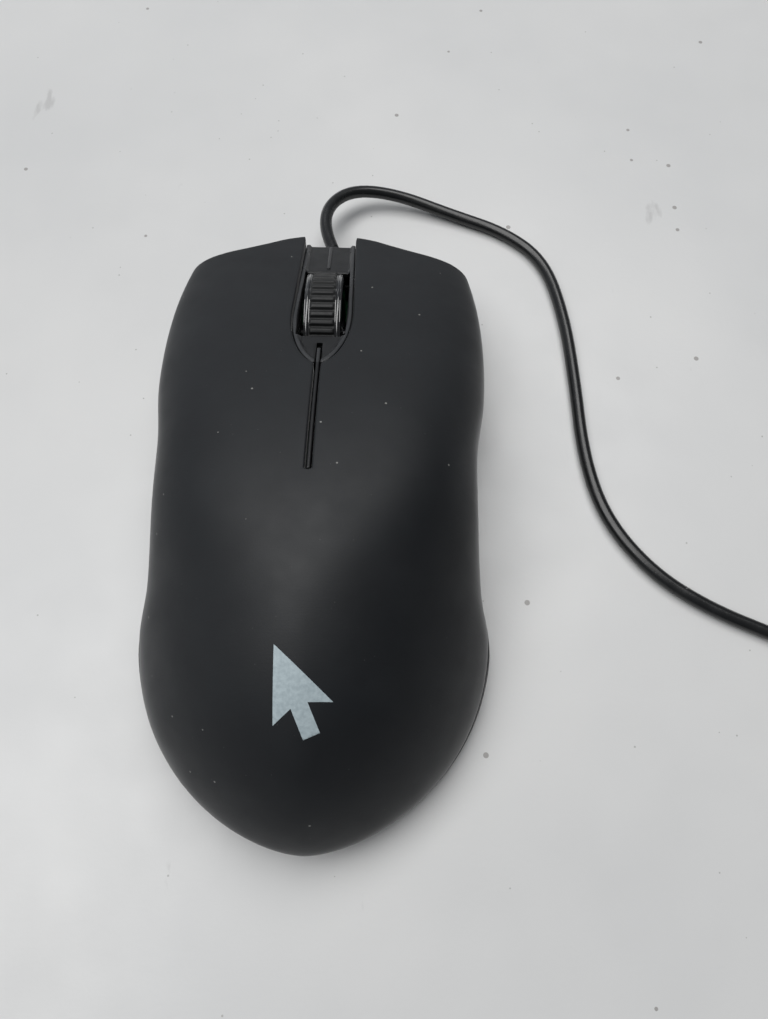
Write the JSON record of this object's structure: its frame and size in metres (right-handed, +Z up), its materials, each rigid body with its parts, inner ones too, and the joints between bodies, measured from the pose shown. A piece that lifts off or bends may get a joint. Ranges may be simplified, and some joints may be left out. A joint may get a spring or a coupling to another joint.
{
  "type": "computer mouse",
  "caption": "Wired optical mouse with two flexing click plates, a ribbed scroll wheel on a sprung cradle, and a thin cord wound to a USB plug.",
  "frame": {"origin": "on the desk, under the middle of the mouse without its cord", "axes": "+Y to the front, where the cord leaves; +X to the right; +Z up"},
  "size_m": [0.178, 0.1475, 0.0385],
  "materials": {
    "soft_touch_black": "satin soft-touch coat",
    "moulded_black": "fine moulded texture",
    "bezel_black": "semi-gloss moulding",
    "foot_grey": "low-friction sheet",
    "label_silver": "blank film",
    "zinc_steel": "zinc plated",
    "pin_steel": "ground",
    "board_green": "solder mask",
    "chip_black": "epoxy",
    "clear_plastic": "clear",
    "red_led": "tinted clear",
    "capacitor_sleeve": "sleeve",
    "plunger_white": "acetal",
    "connector_white": "nylon",
    "wire_colours": "PVC",
    "rim_gloss_black": "polished",
    "tyre_rubber": "ribbed",
    "cord_black": "smooth gloss jacket",
    "tie_black": "coated wire tie",
    "plug_black": "overmould",
    "plug_steel": "nickel plated",
    "insert_white": "moulded",
    "contact_gold": "gold flash"
  },
  "bodies": {
    "housing": {"palm_cover": "soft_touch_black", "bottom_housing": "moulded_black", "led_holder": "moulded_black", "centre_bezel": "bezel_black", "front_glide_foot": "foot_grey", "rear_glide_foot": "foot_grey", "blank_label": "label_silver", "cover_screws": "zinc_steel", "pcb_screws": "zinc_steel", "ballast_weight": "zinc_steel", "cradle_pivot_pin": "pin_steel", "main_pcb": "board_green", "optical_sensor_chip": "chip_black", "controller_chip": "chip_black", "encoder_receiver": "chip_black", "middle_switch_body": "chip_black", "left_switch_body": "chip_black", "right_switch_body": "chip_black", "sensor_lens": "clear_plastic", "encoder_emitter": "clear_plastic", "illumination_led": "red_led", "capacitor": "capacitor_sleeve", "chip_resistors": "capacitor_sleeve", "cable_header": "connector_white", "cable_connector": "connector_white", "inner_wires": "wire_colours", "cord_run": "cord_black", "cord_coil": "cord_black", "cord_tail": "cord_black", "inner_cable": "cord_black", "strain_relief": "cord_black", "cord_tie": "tie_black", "usb_plug_grip": "plug_black", "usb_plug_shell": "plug_steel", "usb_plug_insert": "insert_white", "usb_plug_contacts": "contact_gold"},
    "left_button": {"left_button": "soft_touch_black"},
    "right_button": {"right_button": "soft_touch_black"},
    "left_plunger": {"left_switch_plunger": "plunger_white"},
    "right_plunger": {"right_switch_plunger": "plunger_white"},
    "middle_plunger": {"middle_switch_plunger": "plunger_white"},
    "cradle": {"wheel_cradle": "moulded_black", "detent_spring": "zinc_steel"},
    "wheel": {"wheel_hub": "rim_gloss_black", "wheel_tyre": "tyre_rubber", "wheel_axle": "pin_steel"}
  },
  "joints": [
    {"name": "left_button_press", "type": "hinge", "parent": "housing", "child": "left_button", "pos_m": [-0.016, -0.003, 0.03], "axis": [-1, 0, 0], "range_deg": [0, 0.9], "stiffness_Nm_per_rad": 1.9, "springref_deg": -0.69},
    {"name": "right_button_press", "type": "hinge", "parent": "housing", "child": "right_button", "pos_m": [0.016, -0.003, 0.03], "axis": [-1, 0, 0], "range_deg": [0, 0.9], "stiffness_Nm_per_rad": 1.9, "springref_deg": -0.69},
    {"name": "left_plunger_slide", "type": "slide", "parent": "housing", "child": "left_plunger", "axis": [0, 0, -1], "range_m": [0, 0.00076]},
    {"name": "right_plunger_slide", "type": "slide", "parent": "housing", "child": "right_plunger", "axis": [0, 0, -1], "range_m": [0, 0.00076]},
    {"name": "wheel_press", "type": "hinge", "parent": "housing", "child": "cradle", "pos_m": [0, 0.0214, 0.0115], "axis": [-1, 0, 0], "range_deg": [0, 2.2], "stiffness_Nm_per_rad": 0.4, "springref_deg": -2.29},
    {"name": "middle_plunger_slide", "type": "slide", "parent": "housing", "child": "middle_plunger", "axis": [0, 0, -1], "range_m": [0, 0.00046]},
    {"name": "wheel_spin", "type": "hinge", "parent": "cradle", "child": "wheel", "pos_m": [0, 0.0354, 0.0165], "axis": [1, 0, 0], "continuous": true}
  ],
  "couplings": [
    {"joint": "left_plunger_slide", "follows": "left_button_press", "m_per_rad": 0.048},
    {"joint": "right_plunger_slide", "follows": "right_button_press", "m_per_rad": 0.048},
    {"joint": "middle_plunger_slide", "follows": "wheel_press", "m_per_rad": 0.0118}
  ]
}
